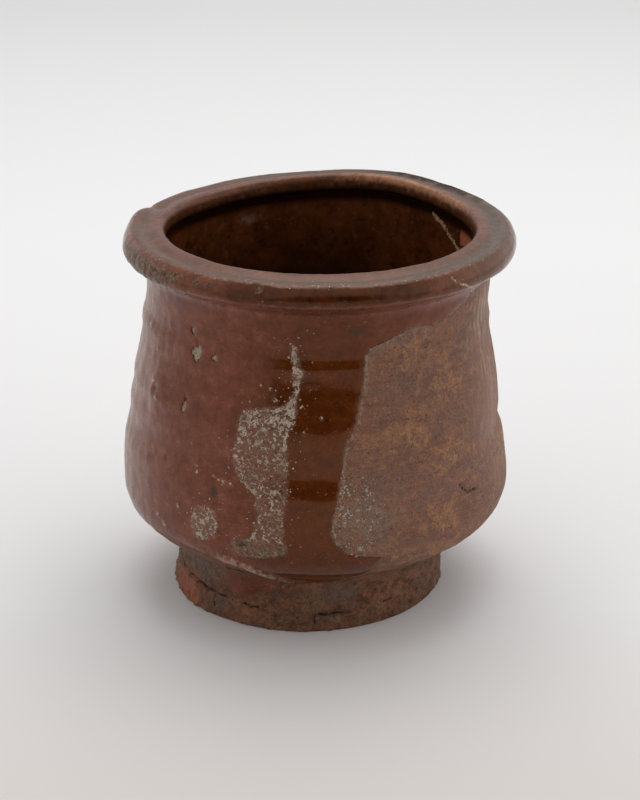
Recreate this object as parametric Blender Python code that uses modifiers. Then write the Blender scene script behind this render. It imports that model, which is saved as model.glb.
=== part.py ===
"""Earthenware ointment jar: a thrown clay pot, its lead glaze coats and the lime crusts on them.

Lengths are in metres. +Z is up, the jar stands on z = 0 and its foot is centred on the origin.
Angles round the jar are in degrees from the front (-Y), positive towards +X.
"""
import math

import bmesh
import bpy

MM = 0.001

# Clay body, from the foot up
FOOT_RADIUS = 30.8 * MM
FOOT_TOP_RADIUS = 30.0 * MM
FOOT_HEIGHT = 15.5 * MM
FOOT_CHAMFER = 0.8 * MM
BELLY_RADIUS = 43.3 * MM
BELLY_HEIGHT = 26.4 * MM
NECK_INSET = 5.7 * MM
NECK_RADIUS = BELLY_RADIUS - NECK_INSET
NECK_LENGTH = 13.0 * MM
RIM_OVERHANG = 5.4 * MM
RIM_EDGE_THICKNESS = 3.6 * MM
RIM_COVE_HEIGHT = 3.4 * MM
CLAY_HEIGHT = 83.9 * MM
WALL_THICKNESS = 3.0 * MM
FLOOR_SINK = 4.5 * MM
MOUTH_FLARE = 0.4 * MM
LIP_ROUND = 1.0 * MM
RIM_LEAN = 2.4 * MM

# Shape of the curves: how fast the wall draws in above the belly, how full the bowl is
TAPER_POWER = 1.2
BOWL_POWER = 4.0 / 3.0

# Glaze coats; the angles say where a coat ends on the rim's round edge and on the hollow under it
SEAT_GAP = 0.3 * MM
GLAZE_THICKNESS = 0.4 * MM
GLAZE_FOOT_MARGIN = 1.3 * MM
WORN_LIP = 0.9 * MM
RIM_GLAZE_END_DEG = -60.0
OUTER_GLAZE_START_DEG = 72.0

# Lime crusts and the places where the glaze has flaked
CRUST_THICKNESS = 0.4 * MM
CRUST_CLEARANCE = 0.3 * MM
CUTTER_DEPTH = 4.0 * MM
CRUST_COLUMNS = 4
CUTTER_COLUMNS = 20
ROWS_PER_SPAN = 2

# Facets of the turned surfaces
TURN_STEPS = 48
ARC_STEPS = 4
WALL_STEPS = 6
BOWL_STEPS = 8
FLAT_INSET = 0.2
MERGE_DISTANCE = 0.001 * MM

# Share of a height over which a surface's slope is measured
NORMAL_STEP = 0.002

# Outlines on the wall: share of the glazed height, then left and right edge in degrees
BARE_WINDOW = (
    (0.07, 14, 116), (0.17, 5, 121), (0.35, 7, 122), (0.53, 9, 120),
    (0.71, 14, 118), (0.84, 16, 117), (0.89, 34, 114), (0.95, 56, 108),
)
LIME_PATCH = (
    (0.12, -24, -8.5), (0.17, -23, -8.5), (0.21, -17.5, -9), (0.33, -16.5, -8), (0.40, -24, -7.5),
    (0.54, -23.5, -8), (0.63, -22, -5.5), (0.67, -9, -5), (0.78, -7.5, -3.5), (0.88, -8, -6),
)
LIME_SPOT = ((0.14, -35.5, -30.5), (0.18, -37.5, -28.5), (0.23, -37, -29), (0.26, -35, -31))

# Crust along the left edge of the bare window: share of the glazed height, width in degrees
LIME_EDGE = ((0.13, 6), (0.18, 11), (0.28, 12), (0.38, 8), (0.42, 4))

# Glaze run on the foot: share of the foot's height, then left and right edge in degrees
FOOT_RUN = ((0.38, -33, -24), (0.55, -38, -14), (0.75, -37, -12), (0.88, -34, -13))

# Finishes: colour, roughness
RED_CLAY = ((0.30, 0.13, 0.07), 0.85)
BROWN_GLAZE = ((0.16, 0.045, 0.02), 0.18)
WORN_GLAZE = ((0.22, 0.09, 0.055), 0.5)
DARK_GLAZE = ((0.07, 0.024, 0.012), 0.15)
LIME = ((0.42, 0.36, 0.30), 0.95)


def mix(low, high, share):
    """Value at a share of the way from low to high."""
    return low + (high - low) * share


def rim_radius():
    """Outer radius of the flat rim."""
    return NECK_RADIUS + RIM_OVERHANG


def mouth_radius():
    """Radius of the mouth at its narrowest."""
    return NECK_RADIUS - WALL_THICKNESS + MOUTH_FLARE


def cove_height():
    """Height where the neck starts to turn out into the rim."""
    return CLAY_HEIGHT - RIM_EDGE_THICKNESS - RIM_COVE_HEIGHT


def neck_height():
    """Height where the wall stops drawing in and stands upright."""
    return cove_height() - NECK_LENGTH


def glaze_line():
    """Height where the outer glaze stops above the foot."""
    return FOOT_HEIGHT + GLAZE_FOOT_MARGIN


def underside_radius(height):
    """Outer radius between the foot and the belly, a quarter ellipse."""
    drop = (BELLY_HEIGHT - height) / (BELLY_HEIGHT - FOOT_HEIGHT)
    return mix(FOOT_TOP_RADIUS, BELLY_RADIUS, math.sqrt(max(0.0, 1.0 - drop * drop)))


def wall_radius(height):
    """Outer radius from the belly to the neck, and of the upright neck above it."""
    rise = (height - BELLY_HEIGHT) / (neck_height() - BELLY_HEIGHT)
    return mix(BELLY_RADIUS, NECK_RADIUS, min(1.0, max(0.0, rise)) ** TAPER_POWER)


def outer_radius(height):
    """Outer radius anywhere between the foot's top and the rim's cove."""
    if height < BELLY_HEIGHT:
        return underside_radius(height)
    return wall_radius(height)


def foot_radius(height):
    """Radius of the foot's slightly flared side."""
    return mix(FOOT_RADIUS, FOOT_TOP_RADIUS, height / FOOT_HEIGHT)


def arc(centre, radius, start_deg, end_deg):
    """Points on an arc in the (radius, height) plane, both ends included."""
    angles = [math.radians(mix(start_deg, end_deg, i / ARC_STEPS)) for i in range(ARC_STEPS + 1)]
    return [(centre[0] + radius * math.cos(a), centre[1] + radius * math.sin(a)) for a in angles]


def inside_points():
    """Bowl, wall and neck of the inside, from the middle of the floor to below the lip."""
    bowl_radius = BELLY_RADIUS - WALL_THICKNESS
    bowl_top = BELLY_HEIGHT + WALL_THICKNESS
    bowl_depth = bowl_top - FOOT_HEIGHT + FLOOR_SINK
    points = []
    for i in range(BOWL_STEPS):
        turn = math.radians(90.0 * i / BOWL_STEPS)
        points.append((bowl_radius * math.sin(turn), bowl_top - bowl_depth * math.cos(turn) ** BOWL_POWER))
    for i in range(WALL_STEPS):
        height = mix(bowl_top, neck_height(), i / WALL_STEPS)
        points.append((wall_radius(height - WALL_THICKNESS) - WALL_THICKNESS, height))
    points.append((NECK_RADIUS - WALL_THICKNESS, cove_height()))
    points.append((mouth_radius(), CLAY_HEIGHT - LIP_ROUND - WORN_LIP))
    return points


def lip_points():
    """Worn inner edge of the mouth, bare of glaze."""
    centre = (mouth_radius() + LIP_ROUND, CLAY_HEIGHT - LIP_ROUND)
    return arc(centre, LIP_ROUND, 180.0, 90.0)[:-1]


def rim_points():
    """Flat top of the rim and its rounded outer edge."""
    edge_round = RIM_EDGE_THICKNESS / 2.0
    start = mouth_radius() + LIP_ROUND
    end = rim_radius() - edge_round
    flat = [mix(start, end, share) for share in (FLAT_INSET, 0.5, 1.0 - FLAT_INSET)]
    edge = arc((end, CLAY_HEIGHT - edge_round), edge_round, 90.0, RIM_GLAZE_END_DEG)
    return [(radius, CLAY_HEIGHT) for radius in flat] + edge


def cove_point(turn_deg):
    """Point on the hollow under the rim: 0 at the neck, 90 at the rim's lower edge."""
    turn = math.radians(turn_deg)
    reach = rim_radius() - RIM_EDGE_THICKNESS / 2.0 - NECK_RADIUS
    return (NECK_RADIUS + reach * (1.0 - math.cos(turn)), cove_height() + RIM_COVE_HEIGHT * math.sin(turn))


def outside_points():
    """Glazed outside, from the hollow under the rim down to the glaze line."""
    points = [cove_point(mix(OUTER_GLAZE_START_DEG, 0.0, i / ARC_STEPS)) for i in range(ARC_STEPS + 1)]
    for i in range(WALL_STEPS):
        height = mix(neck_height(), BELLY_HEIGHT, i / WALL_STEPS)
        points.append((wall_radius(height), height))
    end = math.asin((BELLY_HEIGHT - glaze_line()) / (BELLY_HEIGHT - FOOT_HEIGHT))
    for i in range(ARC_STEPS + 1):
        height = BELLY_HEIGHT - (BELLY_HEIGHT - FOOT_HEIGHT) * math.sin(end * i / ARC_STEPS)
        points.append((underside_radius(height), height))
    return points


def foot_points():
    """Bare foot, from the belly's underside to the middle of the flat base."""
    return [
        (FOOT_TOP_RADIUS, FOOT_HEIGHT),
        (foot_radius(FOOT_HEIGHT / 2.0), FOOT_HEIGHT / 2.0),
        (foot_radius(FOOT_CHAMFER), FOOT_CHAMFER),
        (FOOT_RADIUS - FOOT_CHAMFER, 0.0),
        (0.0, 0.0),
    ]


def clay_profile():
    """Stretches of the clay's section in order, from the floor over the rim to the base."""
    return {
        "inside": inside_points(),
        "lip": lip_points(),
        "rim": rim_points(),
        "outside": outside_points(),
        "foot": foot_points(),
    }


def offset_stretch(profile, name, distance):
    """One stretch of the section moved out of the clay by a distance along its normals."""
    path = [point for stretch in profile.values() for point in stretch]
    first = 0
    for stretch_name, stretch in profile.items():
        if stretch_name == name:
            break
        first += len(stretch)
    moved = []
    for i in range(first, first + len(profile[name])):
        before = path[max(i - 1, 0)]
        after = path[min(i + 1, len(path) - 1)]
        along = (after[0] - before[0], after[1] - before[1])
        length = math.hypot(*along)
        radius = path[i][0] - along[1] / length * distance
        height = path[i][1] + along[0] / length * distance
        moved.append((0.0 if path[i][0] == 0.0 else radius, height))
    return moved


def lean(mesh):
    """Shift each height sideways, because the jar sagged before it was fired."""
    for vertex in mesh.vertices:
        vertex.co.x += RIM_LEAN * vertex.co.z / CLAY_HEIGHT


def new_material(name, finish):
    """Plain finish for one piece."""
    colour, roughness = finish
    material = bpy.data.materials.new(name)
    material.use_nodes = True
    shader = material.node_tree.nodes["Principled BSDF"]
    shader.inputs["Base Color"].default_value = (*colour, 1.0)
    shader.inputs["Roughness"].default_value = roughness
    shader.inputs["Metallic"].default_value = 0.0
    material.diffuse_color = (*colour, 1.0)
    return material


def new_collection(name):
    """Collection linked into the scene."""
    collection = bpy.data.collections.new(name)
    bpy.context.scene.collection.children.link(collection)
    return collection


def evaluated_copy(source, name):
    """Mesh of an object with its modifiers applied, in place of the object."""
    depsgraph = bpy.context.evaluated_depsgraph_get()
    mesh = bpy.data.meshes.new_from_object(source.evaluated_get(depsgraph))
    mesh.name = name
    bpy.data.objects.remove(source)
    return mesh


def turned_mesh(name, points, closed):
    """Section turned about the jar's axis into one closed mesh that leans with the jar."""
    count = len(points)
    edges = [(i, (i + 1) % count) for i in range(count if closed else count - 1)]
    section = bpy.data.meshes.new(name + "_section")
    section.from_pydata([(radius, 0.0, height) for radius, height in points], edges, [])
    wire = bpy.data.objects.new(name + "_section", section)
    bpy.context.scene.collection.objects.link(wire)
    screw = wire.modifiers.new("turn", "SCREW")
    screw.axis = "Z"
    screw.angle = 2.0 * math.pi
    screw.steps = TURN_STEPS
    screw.render_steps = TURN_STEPS
    screw.use_merge_vertices = True
    screw.merge_threshold = MERGE_DISTANCE
    mesh = evaluated_copy(wire, name)
    work = bmesh.new()
    work.from_mesh(mesh)
    bmesh.ops.remove_doubles(work, verts=work.verts, dist=MERGE_DISTANCE)
    bmesh.ops.recalc_face_normals(work, faces=work.faces)
    work.to_mesh(mesh)
    work.free()
    lean(mesh)
    return mesh


def wall_place(share):
    """Radius and height on the glazed wall at a share of its height."""
    height = mix(glaze_line(), cove_height(), share)
    return outer_radius(height), height


def foot_place(share):
    """Radius and height on the foot's side at a share of its height."""
    height = FOOT_HEIGHT * share
    return foot_radius(height), height


def lifted_place(place, share, lift):
    """Point of a wall curve moved out along its normal."""
    radius, height = place(share)
    low = place(share - NORMAL_STEP)
    high = place(share + NORMAL_STEP)
    along = (high[0] - low[0], high[1] - low[1])
    length = math.hypot(*along)
    return radius + along[1] / length * lift, height - along[0] / length * lift


def outline_at(outline, row):
    """Share, left and right edge of an outline, row running from 0 to 1 up its points."""
    position = min(max(row, 0.0), 1.0) * (len(outline) - 1)
    index = min(int(position), len(outline) - 2)
    part = position - index
    return [mix(a, b, part) for a, b in zip(outline[index], outline[index + 1])]


def outline_rows(outline):
    """Rows of facets between the lowest and the highest point of an outline."""
    return ROWS_PER_SPAN * (len(outline) - 1)


def edge_slants(outline, place, row):
    """How far the left and right edge move sideways for each metre up, near a row."""
    reach = 1.0 / outline_rows(outline)
    low_share, low_left, low_right = outline_at(outline, row - reach)
    high_share, high_left, high_right = outline_at(outline, row + reach)
    radius, low_height = place(low_share)
    rise = place(high_share)[1] - low_height
    turns = (high_left - low_left, high_right - low_right)
    return [abs(math.radians(turn)) * radius / rise for turn in turns]


def left_edge_at(outline, share):
    """Left edge of an outline at a share of the wall's height."""
    for (low, low_left, _), (high, high_left, _) in zip(outline, outline[1:]):
        if low <= share <= high:
            return mix(low_left, high_left, (share - low) / (high - low))
    raise ValueError("share outside the outline")


def patch_mesh(name, outline, place, lift, inset, columns):
    """Sheet that follows the wall inside an outline, drawn in by an inset all round."""
    work = bmesh.new()
    bmesh.ops.create_grid(work, x_segments=columns, y_segments=outline_rows(outline), size=0.5)
    for vertex in work.verts:
        across = vertex.co.x + 0.5
        up = vertex.co.y + 0.5
        share, left, right = outline_at(outline, up)
        radius, height = lifted_place(place, share, lift)
        left_trim, right_trim = [
            math.degrees(inset * (1.0 + slant) / radius) for slant in edge_slants(outline, place, up)
        ]
        angle = math.radians(mix(left + left_trim, right - right_trim, across))
        height += mix(inset, -inset, up)
        vertex.co = (radius * math.sin(angle), -radius * math.cos(angle), height)
    mesh = bpy.data.meshes.new(name)
    work.to_mesh(mesh)
    work.free()
    lean(mesh)
    return mesh


def add_thickness(piece, thickness, side):
    """Solidify a sheet: side 1 grows out of the jar, side 0 grows both ways."""
    shell = piece.modifiers.new("thickness", "SOLIDIFY")
    shell.thickness = thickness
    shell.offset = side


def add_piece(name, mesh, finish, collection, parent):
    """One finished piece of the jar."""
    mesh.materials.clear()
    mesh.materials.append(new_material(name + "_finish", finish))
    mesh.shade_smooth()
    piece = bpy.data.objects.new(name, mesh)
    piece.parent = parent
    collection.objects.link(piece)
    return piece


def add_window(piece, name, outline, collection):
    """Cut an outline out of a glaze coat."""
    lift = SEAT_GAP + GLAZE_THICKNESS / 2.0
    mesh = patch_mesh(name, outline, wall_place, lift, 0.0, CUTTER_COLUMNS)
    cutter = bpy.data.objects.new(name, mesh)
    cutter.hide_render = True
    cutter.display_type = "WIRE"
    collection.objects.link(cutter)
    add_thickness(cutter, CUTTER_DEPTH, 0.0)
    cut = piece.modifiers.new(name, "BOOLEAN")
    cut.operation = "DIFFERENCE"
    cut.solver = "EXACT"
    cut.object = cutter


def add_crust(name, outline, place, finish, thickness, collection, parent):
    """Thin crust or glaze run that lies on the clay inside an outline."""
    mesh = patch_mesh(name, outline, place, SEAT_GAP, CRUST_CLEARANCE, CRUST_COLUMNS)
    piece = add_piece(name, mesh, finish, collection, parent)
    add_thickness(piece, thickness, 1.0)


def glaze_coat(profile, stretch):
    """Closed section of a coat: its air side, then back along its clay side."""
    outer = offset_stretch(profile, stretch, SEAT_GAP + GLAZE_THICKNESS)
    inner = offset_stretch(profile, stretch, SEAT_GAP)
    return outer + inner[::-1]


def build_jar():
    """Build every piece of the jar."""
    for item in list(bpy.data.objects):
        bpy.data.objects.remove(item)
    jar = new_collection("ointment_jar")
    cutters = new_collection("cutters")
    stand = bpy.data.objects.new("jar_origin", None)
    jar.objects.link(stand)

    profile = clay_profile()
    section = [point for stretch in profile.values() for point in stretch]
    add_piece("clay_body", turned_mesh("clay_body", section, False), RED_CLAY, jar, stand)

    lining = turned_mesh("inner_glaze", glaze_coat(profile, "inside"), False)
    add_piece("inner_glaze", lining, DARK_GLAZE, jar, stand)
    rim = turned_mesh("rim_glaze", glaze_coat(profile, "rim"), True)
    add_piece("rim_glaze", rim, WORN_GLAZE, jar, stand)
    coat = turned_mesh("outer_glaze", glaze_coat(profile, "outside"), True)
    outer = add_piece("outer_glaze", coat, BROWN_GLAZE, jar, stand)
    add_window(outer, "bare_window", BARE_WINDOW, cutters)
    add_window(outer, "lime_patch_window", LIME_PATCH, cutters)
    add_window(outer, "lime_spot_window", LIME_SPOT, cutters)

    edge = []
    for share, width in LIME_EDGE:
        left = left_edge_at(BARE_WINDOW, share)
        edge.append((share, left, left + width))
    for name, outline in (("lime_patch", LIME_PATCH), ("lime_spot", LIME_SPOT), ("lime_edge", edge)):
        add_crust(name, outline, wall_place, LIME, CRUST_THICKNESS, jar, stand)
    add_crust("foot_glaze_run", FOOT_RUN, foot_place, BROWN_GLAZE, GLAZE_THICKNESS, jar, stand)


build_jar()
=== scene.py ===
"""Looks of the earthenware ointment jar: dense clay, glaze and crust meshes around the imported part.

Lengths in this script are millimetres unless a name says otherwise. Angles round the jar are in degrees
from the front (-Y), positive towards +X. Heights are above the standing face. A mark on the jar is given
as its angle, height, half width and half height, and then its rise or radius where its comment says so.
"""
import math

import bpy
import numpy as np
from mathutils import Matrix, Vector, noise


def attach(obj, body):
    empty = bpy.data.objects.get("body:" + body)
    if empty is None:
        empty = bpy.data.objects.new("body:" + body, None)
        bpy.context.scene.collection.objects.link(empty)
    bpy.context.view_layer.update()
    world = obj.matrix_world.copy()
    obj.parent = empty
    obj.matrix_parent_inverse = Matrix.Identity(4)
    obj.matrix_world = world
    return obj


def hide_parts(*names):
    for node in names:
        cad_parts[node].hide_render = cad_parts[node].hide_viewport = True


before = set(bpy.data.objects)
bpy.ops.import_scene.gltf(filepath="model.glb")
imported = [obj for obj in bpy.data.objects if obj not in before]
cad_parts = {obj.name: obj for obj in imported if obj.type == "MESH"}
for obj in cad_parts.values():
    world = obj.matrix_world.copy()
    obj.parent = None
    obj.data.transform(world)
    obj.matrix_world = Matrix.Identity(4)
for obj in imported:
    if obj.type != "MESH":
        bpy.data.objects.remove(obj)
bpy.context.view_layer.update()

MM = 0.001

# Section of the clay, radius and height, from the middle of the floor over the rim to the base
INSIDE = [
    (0, 11.0), (9, 11.2), (18, 12.6), (26, 15.6), (32.5, 20.2), (37.3, 25), (39.7, 30.5), (39.7, 36),
    (38.7, 44), (37.5, 52), (36.2, 60), (35.5, 66.5), (35.3, 72), (35.35, 77), (35.4, 79.2),
]
LIP = [(35.2, 80.3), (34.75, 81.1), (34.5, 82.0), (34.5, 83.1), (34.75, 83.95), (35.4, 84.5)]
RIM = [
    (36.4, 84.4), (38.9, 83.75), (40.4, 84.05), (41.3, 83.9), (42.05, 83.45), (42.6, 82.7), (43.0, 81.7),
    (43.1, 80.9), (42.9, 80.2), (42.4, 79.8),
]
COVE = [(41.0, 79.2), (39.6, 78.3), (38.4, 77.0), (37.8, 75.2)]
WALL = [
    (37.6, 72), (37.6, 67.6), (37.67, 67.0), (38.27, 64.2), (38.32, 63.5), (38.42, 62.6), (39.76, 56.4),
    (41.18, 50.1), (41.28, 49.3), (41.4, 43.0), (41.52, 42.0), (42.78, 37.0), (42.9, 36.3), (43.4, 30),
    (43.5, 26),
]
UNDERSIDE = [(42.85, 22.6), (41.1, 19.6), (38.2, 17.0), (35.0, 15.0), (32.7, 13.3)]
FOOT = [(31.2, 11.4), (30.5, 9), (30.3, 6.5), (30.7, 3), (31.2, 1.0), (31.2, 0.25), (30.5, 0.0)]
BASE = [(20, 0), (10, 0), (0, 0)]

# Sideways shift of the axis at each height, because the jar sagged before firing
LEAN = [(0, 0), (8, 0.5), (20, 1.6), (45, 1.3), (65, 1.8), (84, 2.5)]

# Thickness of a glaze coat, its gap to the clay, and how far coats thin out where rim and wall meet
GLAZE = 0.35
FLAKE_GAP = 0.02
JOIN_TAPER = 0.22
# Radii on which widths round the wall, the foot and the mouth are measured
WALL_RADIUS = 41.0
DEGREES_PER_MM = math.degrees(1.0 / WALL_RADIUS)
FOOT_RADIUS = 30.5
MOUTH_RADIUS = 35.0
# Rise of the throwing rings above each other and their depth, and the slight oval of the jar
RING_PITCH = 3.2
RING_DEPTH_OUTSIDE = 0.016
RING_DEPTH_INSIDE = 0.015
OVAL = 0.004
OVAL_TURN_RAD = 0.6

# Broad swells and hollows of the wall, with their rise
SWELLS = [
    (-85, 65.5, 26, 3.0, 0.45), (-85, 55, 26, 4.0, -0.35), (-85, 49.5, 26, 2.2, -0.7),
    (-58, 54.5, 4, 5, 0.5), (-59, 53.9, 0.9, 0.9, -0.5), (85, 73, 22, 3.5, 0.7),
    (85, 66.5, 24, 3.6, 0.5), (85, 57, 24, 5.0, 0.25), (82, 44.5, 20, 3.2, 0.4),
    (82, 40.2, 20, 1.8, -0.4), (80, 27, 25, 4.0, 0.4),
]
# Dents and lumps of the rim, with their rise; for height they have the distance from the lip
RIM_MARKS = [
    (-112, 9.9, 2.2, 4, -0.6), (-103, 9.9, 5.0, 4, 0.6), (-80, 9.9, 14, 4, 0.2), (-62, 12.4, 9, 1.5, 0.1),
    (135, 8.9, 7, 4, -0.1), (170, 2.4, 2.0, 1.5, 0.5), (80, 1.9, 5, 1.5, -0.5), (-17, 10.9, 1.2, 0.9, 0.35),
    (85, 11.9, 25, 2.5, 0.25),
]
# Warp of the rim: angle, half width in degrees, rise
RIM_WARP = [(155, 27, 1.3), (-132, 26, -0.6), (178, 75, 0.4)]
# Uneven outline of the foot: angle, half width in degrees, rise
FOOT_SWELLS = [(72, 34, -0.6), (-12, 24, 0.5), (-58, 18, 0.6)]
# Clay left round the top of the foot: angle, half width in degrees, rise; then where along the section
WAIST_SWELLS = [(86, 34, 0.6)]
WAIST_PLACE = 3.5
WAIST_HALF = 4.0
# Chips and holes of the foot, with their rise
FOOT_MARKS = [
    (-62, 5.4, 8, 0.5, -0.5), (76.4, 8.3, 0.7, 1.2, -1.3), (50, 1.0, 4, 1.2, -0.4), (110, 3, 8, 2.5, -0.5),
    (170, 1, 9, 1.5, -0.5), (28, 0.8, 3, 0.8, -0.5), (-33, 0.6, 2, 0.7, -0.5), (-70, 9.5, 3, 1.0, 0.4),
]

# Cracks in the foot: angles and heights along each
FOOT_CRACKS = [
    [(-29, 4.7), (-26, 4.4), (-22, 4.6)], [(4, 3.9), (8, 3.7), (12, 3.95), (17, 3.75)],
    [(33, 4.4), (37, 4.8)], [(2.4, 2.0), (2.0, 3.0), (2.4, 3.8)],
    [(-43.5, 2.2), (-44.2, 4.0), (-43.8, 5.6)],
    [(-76, 6.0), (-72, 5.5), (-64, 5.3), (-57, 5.6), (-50, 5.1), (-43, 5.1), (-38, 4.9)],
    [(135, 5.0), (143, 4.7)], [(-135, 4.0), (-126, 4.3)],
]
# Crack in the bare clay of the wall
WALL_CRACK = [(46.5, 35.0), (48.5, 33.4), (50.6, 32.1), (52.5, 32.4), (54.7, 31.8)]

# Outlines on the wall, angle and height
BARE_ZONE = [
    (5.4, 27.4), (4.2, 30.3), (5.2, 34), (6.8, 37.9), (7.6, 42.4), (8.2, 44.3), (9, 49), (12.3, 53.1),
    (13.6, 58.1), (14.9, 62.1), (15.2, 67.2), (16.7, 68.9), (23, 70.3), (29.6, 71.8), (33.4, 72.3),
    (39.5, 71.6), (47.2, 72.4), (52.9, 73.8), (60, 75.5), (75, 76.5), (95, 76), (110, 72), (118, 62),
    (121, 50), (119, 38), (122, 30), (116, 20), (100, 11), (72, 10), (50, 12), (40, 15.5), (31.4, 19.5),
    (20.1, 22.5), (9.5, 24.3),
]
LIME_PATCH = [
    (-24.5, 23.2), (-24, 26.5), (-19, 27.6), (-17.5, 29), (-16.2, 34), (-17.3, 37.8), (-21.5, 39.8),
    (-24.4, 42.8), (-24, 46), (-23.4, 50.3), (-22.4, 55.3), (-17, 56.2), (-11, 56.8), (-8.2, 58),
    (-6.6, 60), (-7.3, 63.5), (-8.2, 67.5), (-8.0, 70.5), (-6.8, 70), (-5.6, 66.5), (-4.2, 64.6),
    (-4.9, 61), (-4.9, 58.5), (-5.5, 54.9), (-7.9, 50.4), (-7.5, 43.7), (-7.4, 37.9), (-8.8, 32.8),
    (-8.9, 28.6), (-8.2, 27), (-8, 24.6), (-14, 23.4),
]
LIME_EDGE = [
    (5.9, 27.2), (4.8, 30.3), (5.8, 34), (7.4, 37.9), (8.2, 42.4), (9.5, 42.6), (12, 40.5), (16.5, 39.7),
    (18.5, 36), (17.9, 32), (17, 27.5), (13, 25), (9.8, 24.8),
]
LIME_SPOT = [
    (-37.2, 25.2), (-38, 28.5), (-37, 32), (-33.5, 33), (-29.5, 32.6), (-28.6, 29), (-29.5, 26.6),
    (-33, 25),
]
FOOT_RUN = [(-39, 8.5), (-37, 12.8), (-26, 13.6), (-13, 13.2), (-12.5, 9.5), (-19, 8), (-27, 6), (-33, 5.6)]

# Flakes lost from the glaze of the left wall
CHIPS = [
    (-41.2, 64.6, 1.1, 1.8), (-34.6, 64.8, 0.9, 0.55), (-43.6, 52.8, 0.45, 0.8), (-44, 69.6, 0.35, 0.4),
]
# Pale crumbs stuck on the left wall: angle, height, half size
CRUMBS = [
    (-36.4, 39.8, 0.45), (-30.3, 39.9, 0.4), (-28.8, 39.4, 0.35), (-26.9, 39.2, 0.5), (-24.6, 39.0, 0.45),
    (-42.7, 30.9, 0.55), (-52, 26.7, 0.5), (-49.3, 25.2, 0.6), (-37, 41.3, 0.35), (-12, 58.5, 0.4),
    (-14, 60.5, 0.35), (-17, 61, 0.3), (-3, 52, 0.35), (2, 55, 0.3), (-20, 57.5, 0.35), (-62, 62, 0.5),
    (-69, 66, 0.7), (-60.5, 55.3, 0.8), (-57, 52.2, 0.6),
]
# Dark smudges on the left wall
SMUDGES = [
    (-29.9, 36.5, 1.2, 1.4), (-20.9, 26.1, 1.5, 1.0), (-58, 54, 0.9, 1.0), (-50, 40, 0.5, 0.8),
    (12, 73, 2, 1),
]
# Painted haze on the glaze of the far left: a paler colour standing in for a reflection
LEFT_PAINTED_HAZE = (-82, 50, 18, 40)

# Lower edge of the outer glaze, angle and height
GLAZE_END = [
    (-180, 17), (-120, 17), (-75, 19), (-45, 21.2), (-25, 20.2), (-18, 18.4), (-10, 15.2), (-3, 13.2),
    (6, 13), (11, 14), (16, 17), (20, 21.5), (25, 24.5), (98, 24.5), (116, 17), (180, 17),
]
# Height that the foot's dirty clay reaches on the bare side
FOOT_TOP = 15.0

# Ochre clouds of the bare clay
OCHRE_SPOTS = [
    (31, 67, 6, 5), (47, 58, 5, 4), (31, 50, 8, 4.5), (45, 42, 6, 4), (40, 29, 5, 5), (16, 48, 4, 2.5),
    (38, 20, 14, 3.5), (70, 50, 8, 8), (95, 60, 10, 8), (90, 35, 12, 6),
]
# Mauve clouds of the bare clay
MAUVE_SPOTS = [(24, 60, 8, 3.5), (19, 39, 8, 4.5), (36, 36, 7, 4), (60, 47, 6, 12)]
# An ash grey cloud of the bare clay; a brown strip on the right, smoother and with pale streaks of painted
# sheen; and a painted silvery sheen high on the right
ASH = (15, 32, 8, 8)
SATIN_AND_PAINTED_SHEEN = (68, 50, 8, 20)
PAINTED_SILVER_SHEEN = (76, 69, 14, 9)
# Grey stains and a red spall of the foot, with the radius there
GREY_STAINS = [(12, 8.5, 6, 2.5, FOOT_RADIUS), (-54, 10.5, 13, 5, 32), (-42, 2.5, 3, 2, 31)]
SPALL = (-66, 2.5, 8, 3.0, FOOT_RADIUS)
# Pale scratch high inside on the right: angle, height
INSIDE_SCRATCH = [(131, 79), (125, 77.6), (119, 75.6), (113, 74)]
# Bare chip high inside on the right, its colour painted lighter against the shade there, and a painted
# reflection at the back, with the radius there
INSIDE_CHIP = (106, 77.6, 5.0, 3.0, MOUTH_RADIUS)
INSIDE_PAINTED_REFLECTION = (-152, 76, 3.5, 1.3, MOUTH_RADIUS)
# White scratch over the rim's edge on the right: angle, height
RIM_SCRATCH = [(39.5, 83.2), (40.3, 82.3), (42, 81.6), (44, 81.3), (46, 80.3), (48, 79.9)]
# Grey blobs on the rim's edge
RIM_BLOBS = [(-16.8, 83.0, 1.1, 0.8), (-36.4, 82.5, 0.9, 0.9), (-32, 82.9, 0.8, 0.7), (-55, 82.6, 1.2, 0.8)]
# Scorch on the far rim: angle, radius, half width, half length
SCORCH = (137, 42.0, 17, 3.0)
# Radius and half width of the groove on the rim's top
GROOVE = (39.2, 1.5)

# Camera and stage
CAMERA_DISTANCE = 500.0
CAMERA_ELEVATION = 21.9
CAMERA_AIM = (2.55, 0.0, 42.75)
CAMERA_LENS = 98.8
FLOOR_HALF_M = 4.0
FLOOR_COLOUR = (231, 230, 230)
# The far and near floor colours are painted shade: darker far off and near the camera, and warmer near the
# camera, a painted tint of shadow
FAR_FLOOR_PAINTED_SHADE = (218, 217, 217)
FAR_FLOOR = (250, 620)
NEAR_FLOOR_PAINTED_SHADE = (220, 214, 210)
NEAR_FLOOR = (-20, -100)
LAMP_SIZE_M = (0.7, 0.6)
LAMP_WATTS = 3.3
LAMP_PLACE_M = (0.055, 0.34, 0.8)
LAMP_AIM = (0.0, -0.14, -0.8)
# Direction of the unlit side of the studio, which shows in the glaze as dark bands
DARK_SIDE = (0.12, -0.99, 0.0)
# Cosines to that side, and the world's strength at each
DARK_FADE = (0.88, 0.74, 0.0, 0.71)
# Cosines to the right, and the strength added at each
BRIGHT_FADE = (0.5, 0.95, 0.0, 0.4)
BACKDROP_STRENGTH = 0.8


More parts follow.
